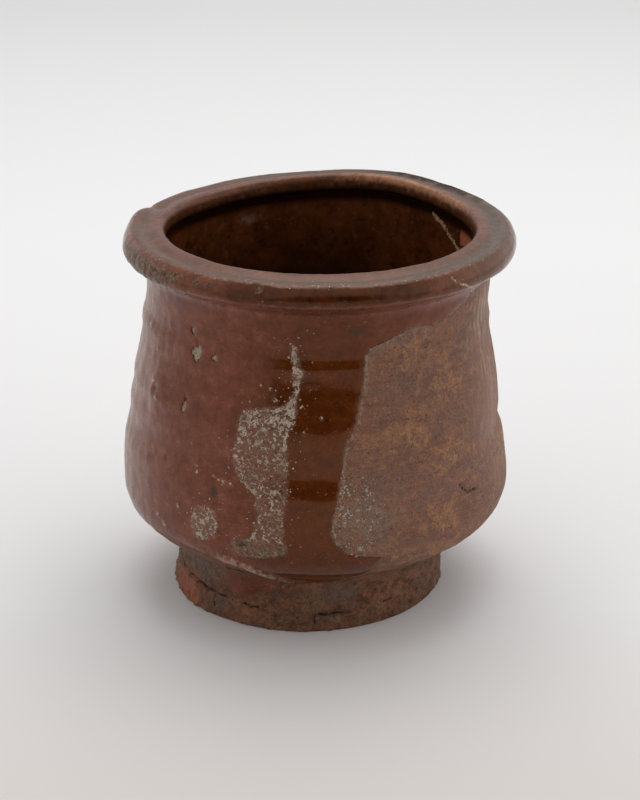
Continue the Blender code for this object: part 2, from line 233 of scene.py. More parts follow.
def smooth_curve(xs, ys):
    """Monotone cubic through points; returns a function of x for arrays."""
    xs = np.asarray(xs, float)
    ys = np.asarray(ys, float)
    step = np.diff(xs)
    slope = np.diff(ys) / step
    tangent = np.zeros_like(ys)
    tangent[[0, -1]] = slope[[0, -1]]
    turning = slope[:-1] * slope[1:] > 0
    before = 2 * step[1:] + step[:-1]
    after = step[1:] + 2 * step[:-1]
    with np.errstate(divide="ignore", invalid="ignore"):
        harmonic = (before + after) / (before / slope[:-1] + after / slope[1:])
    tangent[1:-1] = np.where(turning, np.nan_to_num(harmonic), 0.0)

    def evaluate(x):
        x = np.clip(np.asarray(x, float), xs[0], xs[-1])
        i = np.clip(np.searchsorted(xs, x) - 1, 0, len(step) - 1)
        h = step[i]
        t = (x - xs[i]) / h
        return (
            ys[i] * (1 + 2 * t) * (1 - t) ** 2 + tangent[i] * h * t * (1 - t) ** 2
            + ys[i + 1] * t * t * (3 - 2 * t) + tangent[i + 1] * h * t * t * (t - 1)
        )

    return evaluate


class Section:
    """The clay's section as a smooth curve measured along its length."""

    NORMAL_REACH = 0.25

    def __init__(self, stretches):
        knots = np.array([p for stretch in stretches for p in stretch], float)
        chord = np.concatenate([[0], np.cumsum(np.hypot(*np.diff(knots, axis=0).T))])
        self.radius_at = smooth_curve(chord, knots[:, 0])
        self.height_at = smooth_curve(chord, knots[:, 1])
        self.starts = chord[np.cumsum([0] + [len(stretch) for stretch in stretches[:-1]])]
        self.length = chord[-1]

    def place(self, along):
        """Radius, height and outward normal at distances along the section."""
        low = np.clip(along - self.NORMAL_REACH, 0, self.length)
        high = np.clip(along + self.NORMAL_REACH, 0, self.length)
        dr = self.radius_at(high) - self.radius_at(low)
        dz = self.height_at(high) - self.height_at(low)
        size = np.hypot(dr, dz) + 1e-9
        return self.radius_at(along), self.height_at(along), -dz / size, dr / size


SECTION = Section([INSIDE, LIP, RIM, COVE, WALL, UNDERSIDE, FOOT, BASE])
INSIDE_AT, LIP_AT, RIM_AT, COVE_AT, WALL_AT, UNDERSIDE_AT, FOOT_AT, BASE_AT = SECTION.starts
# Distances along the outside from the base up, and their heights
OUTSIDE_ALONGS = np.linspace(COVE_AT, BASE_AT, 900)[::-1]
OUTSIDE_HEIGHTS = SECTION.height_at(OUTSIDE_ALONGS)
LEAN_AT = smooth_curve(*zip(*LEAN))
GLAZE_END_AT = smooth_curve(*zip(*GLAZE_END))


def along_at(height):
    """Distance along the outside at a height."""
    return np.interp(height, OUTSIDE_HEIGHTS, OUTSIDE_ALONGS)


def fade(value, low, high):
    """0 below low, 1 above high, smooth between."""
    t = np.clip((value - low) / (high - low), 0, 1)
    return t * t * (3 - 2 * t)


def between(value, rise_from, rise_to, fall_from, fall_to):
    """1 over a range of values, with a smooth rise and fall at its ends."""
    return fade(value, rise_from, rise_to) * (1 - fade(value, fall_from, fall_to))


def bell(value, centre, half):
    """Bell-shaped bump of height 1 about a centre."""
    return np.exp(-((value - centre) / half) ** 2)


def turn_gap(angle, centre=0.0):
    """Shortest signed difference between angles in degrees."""
    return (angle - centre + 180.0) % 360.0 - 180.0


def arc(angle, centre, radius=WALL_RADIUS):
    """Distance round the jar from an angle, in millimetres."""
    return np.radians(turn_gap(angle, centre)) * radius


def hump(angle, height, centre_angle, centre_height, half_width, half_height, radius=WALL_RADIUS):
    """Bell-shaped bump of height 1 on the wall, its half sizes in millimetres."""
    across = arc(angle, centre_angle, radius) / half_width
    up = (height - centre_height) / half_height
    return np.exp(-(across * across + up * up))


def humps(angle, height, marks):
    """The highest of several humps at each place."""
    return np.max([hump(angle, height, *mark) for mark in marks], 0)


def grain(points, size, seed):
    """Smooth noise between about -1 and 1 at each point, with features of a given size."""
    shift = Vector((17.3 * seed, 5.1 * seed, 9.7 * seed))
    flat = points.reshape(-1, 3) / size
    values = np.fromiter((noise.noise(Vector(p) + shift) for p in flat), float, len(flat))
    return values.reshape(points.shape[:-1])


def smooth_points(along, angle):
    """Points on the plain turned section, for noise."""
    radius = SECTION.radius_at(along)
    turn = np.radians(angle)
    return np.stack([radius * np.sin(turn), -radius * np.cos(turn), SECTION.height_at(along)], -1)


def form(along, angle):
    """Rise of the thrown form over its plain section: swells, throwing rings and slight unevenness."""
    points = smooth_points(along, angle)
    height = points[..., 2]
    from_lip = along - LIP_AT
    outside = between(along, COVE_AT + 2, WALL_AT, FOOT_AT - 3, FOOT_AT)
    on_rim = between(along, LIP_AT - 2, LIP_AT, COVE_AT, COVE_AT + 3)
    inside = 1 - fade(along, LIP_AT - 4, LIP_AT)
    rise = 0.12 * grain(points, 18.0, 1) + (0.05 + 0.1 * on_rim) * grain(points, 7.0, 2)
    for *mark, lift in SWELLS:
        rise += outside * lift * hump(angle, height, *mark)
    for *mark, lift in RIM_MARKS:
        rise += on_rim * lift * hump(angle, from_lip, *mark)
    spiral = height + angle * RING_PITCH / 360.0
    rings = np.sin(2 * math.pi * spiral / RING_PITCH) * (0.5 + 0.5 * grain(points, 14.0, 3))
    return rise + (RING_DEPTH_OUTSIDE * outside + RING_DEPTH_INSIDE * inside) * rings


def surface(along, angle, lift):
    """Points of the jar at distances along the section and angles, raised by lift along the normal."""
    radius, height, out, up = SECTION.place(along)
    radius = radius + out * lift
    height = np.maximum(height + up * lift, 0.0)
    turn = np.radians(angle)
    oval = 1.0 + OVAL * np.cos(2 * (turn - OVAL_TURN_RAD)) * fade(height, 14, 40)
    for centre, half_turn, rise in RIM_WARP:
        height += rise * bell(turn_gap(angle, centre), 0, half_turn) * fade(height, 70, 80)
    on_foot = fade(along, FOOT_AT + 1, FOOT_AT + 9) * np.minimum(radius / FOOT[-1][0], 1) ** 2
    for centre, half_turn, rise in FOOT_SWELLS:
        radius += rise * bell(turn_gap(angle, centre), 0, half_turn) * on_foot
    at_waist = bell(along - FOOT_AT, WAIST_PLACE, WAIST_HALF)
    for centre, half_turn, rise in WAIST_SWELLS:
        radius += rise * bell(turn_gap(angle, centre), 0, half_turn) * at_waist
    return np.stack([
        radius * oval * np.sin(turn) + LEAN_AT(height),
        -radius * oval * np.cos(turn),
        height,
    ], -1)


def segment_distance(x, z, ex, ez):
    """Distance to the straight line from the origin to a point."""
    t = np.clip((x * ex + z * ez) / (ex * ex + ez * ez), 0, 1)
    return np.hypot(x - t * ex, z - t * ez)


def signed_distance(outline, angle, height):
    """Distance to an outline on the wall in millimetres, positive inside it."""
    corners = np.array(outline, float)
    middle = corners[:, 0].mean()
    x = arc(angle, middle)
    cx = np.radians(corners[:, 0] - middle) * WALL_RADIUS
    cz = corners[:, 1]
    nearest = np.full(x.shape, 1e9)
    inside = np.zeros(x.shape, bool)
    for ax, az, bx, bz in zip(np.roll(cx, 1), np.roll(cz, 1), cx, cz):
        ex, ez = bx - ax, bz - az
        nearest = np.minimum(nearest, segment_distance(x - ax, height - az, ex, ez))
        crosses = (az > height) != (bz > height)
        with np.errstate(divide="ignore", invalid="ignore"):
            inside ^= crosses & (x < ax + (height - az) / (bz - az) * ex)
    return np.where(inside, nearest, -nearest)


def line_distance(line, angle, height):
    """Distance to an open line on the wall in millimetres."""
    nearest = np.full(angle.shape, 1e9)
    for (start, low), (end, high) in zip(line[:-1], line[1:]):
        x = arc(angle, start)
        ex, ez = math.radians(end - start) * WALL_RADIUS, high - low
        nearest = np.minimum(nearest, segment_distance(x, height - low, ex, ez))
    return nearest


def put_in_scene(name, data):
    """Object in the scene with a mesh, lamp or camera as its data."""
    made = bpy.data.objects.new(name, data)
    bpy.context.scene.collection.objects.link(made)
    return made


def new_piece(name, points, faces, attributes, material, node):
    """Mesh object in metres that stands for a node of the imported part."""
    mesh = bpy.data.meshes.new(name)
    mesh.from_pydata((points * MM).tolist(), [], faces)
    for label, values in attributes.items():
        layer = mesh.attributes.new(label, "FLOAT", "POINT")
        layer.data.foreach_set("value", values.ravel().astype(np.float32))
    mesh.materials.append(material)
    mesh.shade_smooth()
    mesh.validate()
    piece = put_in_scene(name, mesh)
    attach(piece, "root")
    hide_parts(node)


def quads(rows, columns, closed):
    """Faces of a grid of points, columns joined round when closed, seen from outside the jar."""
    i, j = np.mgrid[:rows - 1, :columns if closed else columns - 1]
    k = (j + 1) % columns
    below = (i + 1) * columns
    return np.stack([i * columns + j, below + j, below + k, i * columns + k], -1).reshape(-1, 4)


def shell_faces(faces, count):
    """Close a sheet of faces into a shell: the sheet, its lower copy and walls round its edges."""
    edges = np.concatenate([faces[:, [a, (a + 1) % 4]] for a in range(4)])
    key = edges[:, 0] * count + edges[:, 1]
    twin = edges[:, 1] * count + edges[:, 0]
    border = edges[~np.isin(key, twin)]
    walls = np.stack([border[:, 1], border[:, 0], border[:, 0] + count, border[:, 1] + count], -1)
    return np.concatenate([faces, faces[:, ::-1] + count, walls])


NEAR_EDGE = 0.55
LONGEST_PULL = 0.6
LEAST_STEEP = 0.2
SLOPE_REACH = 0.1


def pull_to_edge(along, angle, depth, slope_along, slope_round, cell):
    """Pull grid points near an outline onto it. Returns moved places and the depth inside at each."""
    steep = np.maximum(slope_along ** 2 + slope_round ** 2, LEAST_STEEP)
    near = np.abs(depth) < NEAR_EDGE * cell
    limit = LONGEST_PULL * cell
    pull = np.clip(np.where(near, -depth / steep, 0.0), -limit, limit)
    moved_angle = angle + pull * slope_round * DEGREES_PER_MM
    return along + pull * slope_along, moved_angle, np.where(near, 0.0, depth)


def trim_to(along, angle, depth_at, cell):
    """Trim a grid to the outline where a depth is 0."""
    turn = SLOPE_REACH * DEGREES_PER_MM
    span = 2 * SLOPE_REACH
    slope_along = (depth_at(along + SLOPE_REACH, angle) - depth_at(along - SLOPE_REACH, angle)) / span
    slope_round = (depth_at(along, angle + turn) - depth_at(along, angle - turn)) / span
    return pull_to_edge(along, angle, depth_at(along, angle), slope_along, slope_round, cell)


def used_only(points, faces, attributes):
    """Drop the points that no face uses."""
    used, renumbered = np.unique(faces, return_inverse=True)
    kept = {label: values[used] for label, values in attributes.items()}
    return points[used], renumbered.reshape(faces.shape), kept


# Materials


def srgb(red, green, blue):
    """Linear colour from 8-bit display values."""
    linear = [((c / 255 + 0.055) / 1.055) ** 2.4 if c > 10 else c / 255 / 12.92 for c in (red, green, blue)]
    return (*linear, 1.0)


def feed(tree, socket, value):
    """Link a socket to another, or set it to a value that isn't None."""
    if isinstance(value, bpy.types.NodeSocket):
        tree.links.new(value, socket)
    elif value is not None:
        socket.default_value = value


def add_node(tree, kind, inputs, **settings):
    """Outputs of a new shader node with these inputs and settings."""
    made = tree.nodes.new("ShaderNode" + kind)
    for name, value in settings.items():
        setattr(made, name, value)
    for name, value in inputs.items():
        feed(tree, made.inputs[name], value)
    return made.outputs


def map_range(tree, value, low, high, start=0.0, end=1.0):
    """Value carried from the range low to high to the range start to end, and held at its ends."""
    inputs = {"Value": value, "From Min": low, "From Max": high, "To Min": start, "To Max": end}
    return add_node(tree, "MapRange", inputs)[0]


class Finish:
    """Node material built up from a few kinds of node, its coordinates in millimetres."""

    def __init__(self, name):
        self.material = bpy.data.materials.new(name)
        self.material.use_nodes = True
        self.tree = self.material.node_tree
        self.shader = self.tree.nodes["Principled BSDF"]
        place = self.add("TexCoord", {})["Object"]
        self.place = self.add("VectorMath", {0: place, 1: (1.0 / MM,) * 3}, operation="MULTIPLY")[0]

    def add(self, kind, inputs, **settings):
        return add_node(self.tree, kind, inputs, **settings)

    def math(self, operation, first, second):
        return self.add("Math", {0: first, 1: second}, operation=operation)[0]

    def times(self, first, second):
        return self.math("MULTIPLY", first, second)

    def ramp(self, value, *ends):
        return map_range(self.tree, value, *ends)

    def noise(self, size, detail, rough, stretch=(1.0, 1.0, 1.0)):
        """Noise about 0.5, with features of a size, drawn out by stretch along x, y and z."""
        place = self.add("VectorMath", {0: self.place, 1: stretch}, operation="DIVIDE")[0]
        inputs = {"Vector": place, "Scale": 1.0 / size, "Detail": detail, "Roughness": rough}
        return self.add("TexNoise", inputs)["Fac"]

    def specks(self, spacing, radius, keep):
        """Round specks up to a radius, on a share of the cells of a spacing."""
        cells = self.add("TexVoronoi", {"Vector": self.place, "Scale": 1.0 / spacing})
        dice = self.add("SeparateColor", {0: cells["Color"]})
        chosen = self.ramp(dice[0], 1 - keep, 1 - keep + 0.01)
        size = self.ramp(dice[1], 0, 1, 0.3 * radius / spacing, radius / spacing)
        return self.times(chosen, self.ramp(self.math("SUBTRACT", size, cells["Distance"]), 0.0, 0.04))

    def attribute(self, label):
        return self.add("Attribute", {}, attribute_name=label)["Fac"]

    def broken(self, label, size, spread, low=0.4, high=0.6):
        """An attribute from 0 to 1 with its edge broken up by noise of a size."""
        ragged = self.ramp(self.noise(size, 4.0, 0.65), 0.25, 0.75, -spread, spread)
        return self.ramp(self.math("ADD", self.attribute(label), ragged), low, high)

    def over(self, colour, *layers):
        """A colour covered in turn by others, each with its share. Tuples are 8-bit display colours."""
        for share, cover in layers:
            first, second = (srgb(*c) if isinstance(c, tuple) else c for c in (colour, cover))
            colour = self.add("Mix", {0: share, 6: first, 7: second}, data_type="RGBA")[2]
        return colour

    def bump(self, height, depth, normal=None):
        """Normal bent by a height map of a depth, on top of another normal."""
        return self.add("Bump", {"Height": height, "Distance": depth * MM, "Normal": normal})["Normal"]

    def finished(self, colour, roughness, normal=None, tint=None):
        """The material, with these inputs of its shader and a tint for its reflections."""
        inputs = {"Base Color": colour, "Roughness": roughness, "Normal": normal, "Specular Tint": tint}
        for label, value in inputs.items():
            feed(self.tree, self.shader.inputs[label], value)
        return self.material


# How noise is drawn out along x, y and z
RINGS = (5.0, 5.0, 0.5)
DRIPS = (0.6, 0.6, 6.0)
SMEARS = (2.0, 2.0, 1.0)
# Tint of the reflections
GLAZE_TINT = (1.0, 0.64, 0.48, 1.0)
CLAY_TINT = (1.0, 0.8, 0.66, 1.0)


def clay_finish():
    """Grainy fired clay: ochre and mauve brown where the glaze flaked, grey brown and dirty on the foot,
    with painted sheen on the right.
    """
    f = Finish("fired_clay")
    fine = f.noise(0.5, 4, 0.7)
    dust = f.noise(0.28, 2, 0.6)
    rings = f.noise(2.2, 5, 0.7, RINGS)
    drips = f.noise(1.6, 2, 0.5, DRIPS)
    grains = f.ramp(f.noise(0.42, 4, 0.8), 0.42, 0.6, 0.1, 0.9)
    ash = f.times(f.broken("ash", 1.8, 0.8, 0.3, 1.1), f.ramp(fine, 0.36, 0.6, 0.9, 0.2))
    # painted sheen: pale vertical streaks standing in for the reflection on the right of the bare clay
    satin_and_painted_sheen = f.over((128, 83, 62), (f.ramp(drips, 0.52, 0.66, 0, 0.7), (164, 124, 102)))
    # painted silvery sheen high on the right of the neck, in vertical streaks
    painted_silver_sheen = f.over((116, 86, 72), (f.ramp(drips, 0.36, 0.64), (182, 158, 142)))
    wall = f.over(
        (140, 95, 76),
        (f.ramp(f.noise(6.0, 5, 0.7), 0.4, 0.6), (114, 83, 73)),
        (f.ramp(f.noise(2.2, 6, 0.75), 0.48, 0.62, 0, 0.7), (154, 104, 70)),
        (f.ramp(rings, 0.5, 0.64, 0, 0.6), (92, 63, 54)),
        (f.broken("mauve", 3.0, 0.8, 0.3, 1.1), (122, 89, 79)),
        (f.times(f.broken("ochre", 2.2, 1.3, 0.35, 1.3), grains), (180, 132, 88)),
        (f.ramp(fine, 0.5, 0.66, 0, 0.8), (80, 50, 39)),
        (f.ramp(dust, 0.58, 0.72, 0, 0.6), (178, 142, 112)),
        (ash, (138, 120, 104)),
        (f.broken("satin_and_painted_sheen", 4.0, 0.5, 0.3, 1.0), satin_and_painted_sheen),
        (f.times(f.broken("painted_silver_sheen", 2.0, 0.7, 0.3, 1.1), 0.75), painted_silver_sheen),
    )
    foot = f.over(
        (144, 91, 64),
        (f.ramp(f.noise(5.0, 4, 0.65, SMEARS), 0.38, 0.62), (106, 70, 52)),
        (f.ramp(f.noise(1.8, 5, 0.75, SMEARS), 0.48, 0.6, 0, 0.75), (74, 50, 37)),
        (f.ramp(f.noise(3.2, 5, 0.75), 0.52, 0.62, 0, 0.6), (142, 112, 84)),
        (f.ramp(f.noise(2.6, 5, 0.75), 0.46, 0.38, 0, 0.7), (62, 44, 34)),
        (f.broken("grey", 4.0, 0.6, 0.3, 1.0), (108, 91, 79)),
        (f.broken("spall", 3.0, 0.6, 0.3, 0.9), (160, 92, 66)),
        (f.ramp(fine, 0.54, 0.66, 0, 0.8), (50, 33, 25)),
        (f.ramp(dust, 0.54, 0.66, 0, 0.55), (158, 116, 88)),
        (f.specks(0.75, 0.17, 0.45), (34, 22, 17)),
    )
    crack = f.times(f.broken("slit", 0.6, 0.35, 0.45, 0.75), f.ramp(f.noise(1.6, 3, 0.6), 0.36, 0.5))
    chalk = f.over((176, 160, 138), (f.ramp(fine, 0.42, 0.64), (112, 96, 78)))
    colour = f.over(
        wall,
        (f.broken("foot", 2.0, 0.3), foot),
        (crack, (20, 12, 9)),
        (f.broken("rind", 0.8, 1.0, 0.75, 1.2), (150, 134, 114)),
        (f.broken("chalk", 0.6, 0.4), chalk),
        (f.specks(1.0, 0.2, 0.3), (40, 26, 20)),
    )
    roughness = f.ramp(f.attribute("satin_and_painted_sheen"), 0, 1, 0.66, 0.4)
    grit = f.bump(f.times(f.noise(0.9, 4, 0.7), f.attribute("foot")), 0.5)
    relief = f.bump(rings, 0.14, f.bump(f.noise(2.2, 4, 0.7), 0.2, grit))
    normal = f.bump(fine, 0.2, f.bump(dust, 0.08, relief))
    return f.finished(colour, roughness, normal, CLAY_TINT)


def outer_glaze_finish(name):
    """Brown lead glaze: clear amber where it ran thick, hazy mauve brown elsewhere, with iron specks and a
    painted haze of reflection on the far left.
    """
    f = Finish(name)
    amber = f.broken("amber", 6.0, 0.3, 0.2, 0.8)
    rings = f.noise(3.0, 5, 0.65, RINGS)
    runs = f.noise(1.5, 4, 0.65, DRIPS)
    blots = f.noise(3.2, 6, 0.72)
    fine = f.noise(0.6, 4, 0.7)
    clear = f.over((97, 47, 16), (f.ramp(f.noise(2.5, 4, 0.65), 0.35, 0.7), (73, 33, 10)))
    film = f.times(f.broken("film", 1.4, 0.6, 0.35, 1.0), f.ramp(fine, 0.35, 0.6, 0.9, 0.25))
    colour = f.over(
        (104, 50, 34),
        (f.ramp(f.noise(9.0, 5, 0.65), 0.35, 0.65), (122, 67, 50)),
        (f.ramp(blots, 0.5, 0.64, 0, 0.75), (82, 41, 29)),
        (f.ramp(blots, 0.46, 0.34, 0, 0.65), (142, 92, 75)),
        (f.ramp(rings, 0.52, 0.68, 0, 0.25), (80, 37, 23)),
        (f.ramp(runs, 0.54, 0.7, 0, 0.25), (132, 86, 70)),
        # painted haze: paler colour on the far left, standing in for a reflection
        (f.times(f.broken("painted_haze", 3.0, 0.4, 0.2, 1.2), 0.5), (164, 128, 114)),
        (amber, clear),
        (f.ramp(fine, 0.52, 0.72, 0, 0.5), (54, 26, 17)),
        (film, (136, 108, 93)),
        (f.broken("thin", 1.4, 0.5, 0.3, 0.9), (104, 68, 48)),
        (f.broken("smudge", 0.7, 0.4, 0.3, 0.8), (62, 46, 38)),
        (f.broken("smear", 1.0, 0.6, 0.4, 1.1), (164, 138, 124)),
        (f.broken("whiting", 0.4, 0.8, 0.5, 0.8), (184, 162, 142)),
        (f.specks(0.6, 0.1, 0.45), (34, 17, 11)),
        (f.specks(1.1, 0.17, 0.25), (28, 14, 9)),
        (f.specks(0.95, 0.1, 0.25), (190, 166, 146)),
        (f.specks(3.1, 0.22, 0.2), (176, 154, 132)),
    )
    gloss = f.math("ADD", amber, f.ramp(blots, 0.4, 0.65, 0.15, -0.25))
    gloss = f.math("SUBTRACT", gloss, f.attribute("thin"))
    roughness = f.ramp(gloss, -1, 1, 0.5, 0.08)
    uneven = f.times(blots, f.ramp(amber, 0, 1, 1.0, 0.15))
    dents = f.bump(uneven, 0.08, f.bump(f.specks(2.0, 0.3, 0.4), -0.07))
    normal = f.bump(f.times(fine, f.ramp(amber, 0, 1, 1.0, 0.3)), 0.02, dents)
    return f.finished(colour, roughness, normal, GLAZE_TINT)


def rim_glaze_finish():
    """Worn glaze on the rim: satin brown on top with a grey groove, glossy at the edge, amber in front,
    painted shade under the lip.
    """
    f = Finish("worn_rim_glaze")
    worn = f.broken("worn", 1.8, 0.35, 0.35, 0.65)
    fine = f.noise(0.6, 4, 0.7)
    blots = f.noise(1.8, 5, 0.72)
    smoke = f.over((88, 72, 56), (f.ramp(blots, 0.4, 0.6), (60, 47, 36)))
    inner = f.over((92, 52, 26), (f.ramp(blots, 0.42, 0.6), (58, 30, 13)))
    top = f.over(
        (102, 54, 35),
        (f.ramp(f.noise(4.0, 5, 0.65), 0.38, 0.62), (78, 41, 26)),
        (f.ramp(blots, 0.52, 0.68, 0, 0.5), (130, 90, 66)),
        (f.broken("smoke", 3.0, 0.5, 0.3, 1.0), smoke),
        (f.broken("groove", 4.0, 0.5, 0.4, 1.1), (78, 64, 53)),
        (f.ramp(fine, 0.5, 0.68, 0, 0.6), (58, 38, 30)),
        (f.attribute("inner"), inner),
        (f.broken("lit", 1.6, 0.6, 0.2, 1.1), (158, 108, 78)),
        # painted shade: dark in the undercut under the lip
        (f.attribute("under"), (24, 10, 4)),
    )
    amber = f.over((80, 38, 14), (f.ramp(f.noise(2.0, 4, 0.65), 0.4, 0.65), (52, 23, 8)))
    edge = f.over(
        (116, 66, 47),
        (f.ramp(blots, 0.42, 0.62), (84, 46, 32)),
        (f.ramp(f.attribute("smoke"), 0.7, 1.0, 0, 0.6), (80, 54, 38)),
        (f.broken("amber", 3.0, 0.4, 0.3, 0.8), amber),
    )
    soot = f.times(f.broken("scorch", 3.5, 0.6, 0.0, 0.9), f.ramp(f.attribute("scorch"), 0.0, 0.4))
    scorch = f.over((13, 16, 23), (f.ramp(fine, 0.4, 0.6), (32, 32, 36)))
    lug = f.over((122, 100, 80), (f.ramp(f.noise(0.9, 5, 0.75), 0.42, 0.58), (46, 32, 25)))
    crumbs = f.times(f.broken("crumbs", 2.0, 0.7, 0.4, 0.8), f.specks(0.5, 0.15, 0.5))
    colour = f.over(
        edge,
        (worn, top),
        (soot, scorch),
        (f.broken("lug", 1.2, 0.9, 0.5, 0.9), lug),
        (f.broken("scar", 0.7, 0.8, 0.7, 1.1), (186, 164, 142)),
        (crumbs, (196, 174, 152)),
        (f.specks(0.9, 0.15, 0.35), (34, 20, 14)),
        (f.specks(1.3, 0.14, 0.25), (176, 154, 134)),
    )
    satin = f.ramp(f.math("MAXIMUM", worn, f.attribute("lug")), 0, 1, 0.12, 0.36)
    roughness = f.math("ADD", satin, f.times(soot, 0.5))
    normal = f.bump(fine, 0.03, f.bump(f.times(blots, f.ramp(worn, 0, 1, 0.4, 1)), 0.1))
    return f.finished(colour, roughness, normal, GLAZE_TINT)


def inner_glaze_finish():
    """Dark glossy lining with a scratch, a bare chip painted lighter against the shade, painted shade deep
    down and under the lip, and a painted reflection at the back.
    """
    f = Finish("dark_lead_glaze")
    blots = f.noise(2.4, 5, 0.7)
    colour = f.over(
        (72, 35, 12),
        (f.ramp(f.noise(6.0, 4, 0.6), 0.35, 0.65), (98, 51, 24)),
        (f.ramp(blots, 0.54, 0.66, 0, 0.7), (40, 20, 9)),
        (f.ramp(blots, 0.44, 0.34, 0, 0.5), (120, 74, 44)),
        # painted reflection: a pale patch high at the back of the lining
        (f.broken("painted_reflection", 1.6, 0.5, 0.3, 1.1), (124, 88, 74)),
        # painted light: the bare chip is coloured lighter than its clay, against the shade high inside
        (f.broken("bare", 1.2, 0.4), (176, 104, 74)),
        # painted shade: darker deep inside and just under the lip
        (f.attribute("painted_depth_shade"), (30, 12, 4)),
        (f.broken("scratch", 0.8, 0.6, 0.5, 0.9), (176, 146, 118)),
    )
    normal = f.bump(f.noise(0.7, 3, 0.6), 0.02, f.bump(f.noise(3.0, 4, 0.6), 0.1))
    return f.finished(colour, 0.26, normal, GLAZE_TINT)


def lime_finish():
    """Dry grainy lime: whitish grains with brown between, stained grey at the foot of the patch."""
    f = Finish("lime")
    fine = f.noise(0.3, 3, 0.7)
    stain = f.over((148, 132, 112), (f.ramp(f.noise(0.8, 4, 0.7), 0.4, 0.6), (80, 62, 50)))
    colour = f.over(
        (140, 116, 100),
        (f.ramp(fine, 0.36, 0.58), (206, 191, 174)),
        (f.ramp(f.noise(2.2, 5, 0.7), 0.44, 0.62, 0, 0.75), (126, 103, 87)),
        (f.broken("stain", 1.5, 0.5), stain),
    )
    return f.finished(colour, 0.9, f.bump(fine, 0.1))


# Pieces


def spaced(start, *runs):
    """Distances along the section from a start, in runs that each have an end and a step."""
    alongs = [[start]]
    for end, step in runs:
        alongs.append(np.linspace(start, end, max(2, int(round((end - start) / step)) + 1))[1:])
        start = end
    return np.concatenate(alongs)


def turn_angles(fine_start, fine_end, fine_step=0.58, coarse_step=1.7):
    """Angles right round, closer together between two of them."""
    fine = np.arange(fine_start, fine_end, fine_step)
    count = int(round((360 - (fine_end - fine_start)) / coarse_step))
    return np.concatenate([fine, np.linspace(fine_end, fine_start + 360, count, endpoint=False)])


# Height of the standing face's edge, which stays flat, depth of cracks, and room for the lining
FLAT_BASE = 0.15
CRACK_DEPTH = 0.5
LINING_SINK = 0.25
# How far the lining thins out under the rim's coat
LINING_TAPER = 0.2
# How the runs of the glaze are drawn out along x, y and z
RIVULETS = (1.0, 1.0, 0.18)

OUTSIDE_ANGLES = turn_angles(-85, 100)
COAT_ANGLES = turn_angles(-85, 126)
INSIDE_ANGLES = turn_angles(85, 275, 0.7, 2.0)


def add_clay_body():
    """The fired body, bare on the right and on the foot."""
    alongs = spaced(
        INSIDE_AT + 0.5, (LIP_AT - 8, 4.0), (COVE_AT, 1.5), (UNDERSIDE_AT, 0.8), (FOOT_AT, 0.55),
        (BASE_AT, 0.27), (SECTION.length - 0.5, 5.0),
    )
    along, angle = np.meshgrid(alongs, OUTSIDE_ANGLES, indexing="ij")
    points = smooth_points(along, angle)
    height = points[..., 2]
    bare = signed_distance(BARE_ZONE, angle, height)
    turn = turn_gap(angle)
    dirty = np.where(turn > 8, np.minimum(GLAZE_END_AT(turn), FOOT_TOP), GLAZE_END_AT(turn))
    below = 1 - fade(height, dirty - 1.0, dirty + 1.5 + 5.0 * fade(turn, 8, 16))
    foot = fade(along, UNDERSIDE_AT, FOOT_AT) * (along < BASE_AT - 0.5)
    lift = form(along, angle)
    lift -= LINING_SINK * (1 - fade(along, LIP_AT - 1, LIP_AT))
    lift += 0.06 * grain(points, 1.4, 5) * fade(along, COVE_AT, WALL_AT)
    lift += 0.03 * grain(points, 0.7, 6) * fade(bare, 0, 1)
    pits = 0.22 * grain(points, 1.8, 8) + 0.14 * grain(points, 0.8, 9)
    coarse = 1 + 0.9 * fade(along, FOOT_AT, FOOT_AT + 3)
    rough = 0.35 * grain(points, 5.0, 7) + coarse * pits
    lift += foot * (rough + 0.06 * np.sin(height * 2.6 + 2 * grain(points, 9, 10)))
    for *mark, rise in FOOT_MARKS:
        lift += foot * rise * hump(angle, height, *mark, FOOT_RADIUS)
    lift = np.where((height < FLAT_BASE) & (along > FOOT_AT), 0.0, lift)
    gaps = [line_distance(line, angle, height) for line in [*FOOT_CRACKS, WALL_CRACK]]
    slit = 1 - fade(np.min(gaps, 0), 0.05, 0.5)
    lift -= CRACK_DEPTH * slit
    rows, columns = along.shape
    faces = quads(rows, columns, True).tolist()
    faces.append(list(range(columns)))
    faces.append([rows * columns - 1 - j for j in range(columns)])
    rind = fade(-np.abs(bare - 0.5), -0.9, 0.0) * fade(height, 24, 30)
    border = 0.8 * fade(-bare, -4.5, -0.4) * fade(height, 57, 63) * (1 - fade(turn, 34, 50))
    attributes = {
        "foot": below, "slit": slit,
        "ochre": humps(angle, height, OCHRE_SPOTS), "mauve": humps(angle, height, MAUVE_SPOTS),
        "chalk": humps(angle, height, [(turned, level, 2 * w, 2 * h) for turned, level, w, h in CHIPS]),
        "grey": humps(angle, height, GREY_STAINS), "spall": hump(angle, height, *SPALL),
        "rind": rind * (1 - fade(turn, 25, 50)),
        "ash": np.maximum(border, 1.1 * hump(angle, height, *ASH)),
        # the strip on the right is smoother and carries a painted sheen; higher up is a painted silvery
        # sheen
        "satin_and_painted_sheen": hump(angle, height, *SATIN_AND_PAINTED_SHEEN), "painted_silver_sheen": hump(angle, height, *PAINTED_SILVER_SHEEN),
    }
    grid = surface(along, angle, lift).reshape(-1, 3)
    new_piece("fired_clay_body", grid, faces, attributes, clay_finish(), "clay_body")


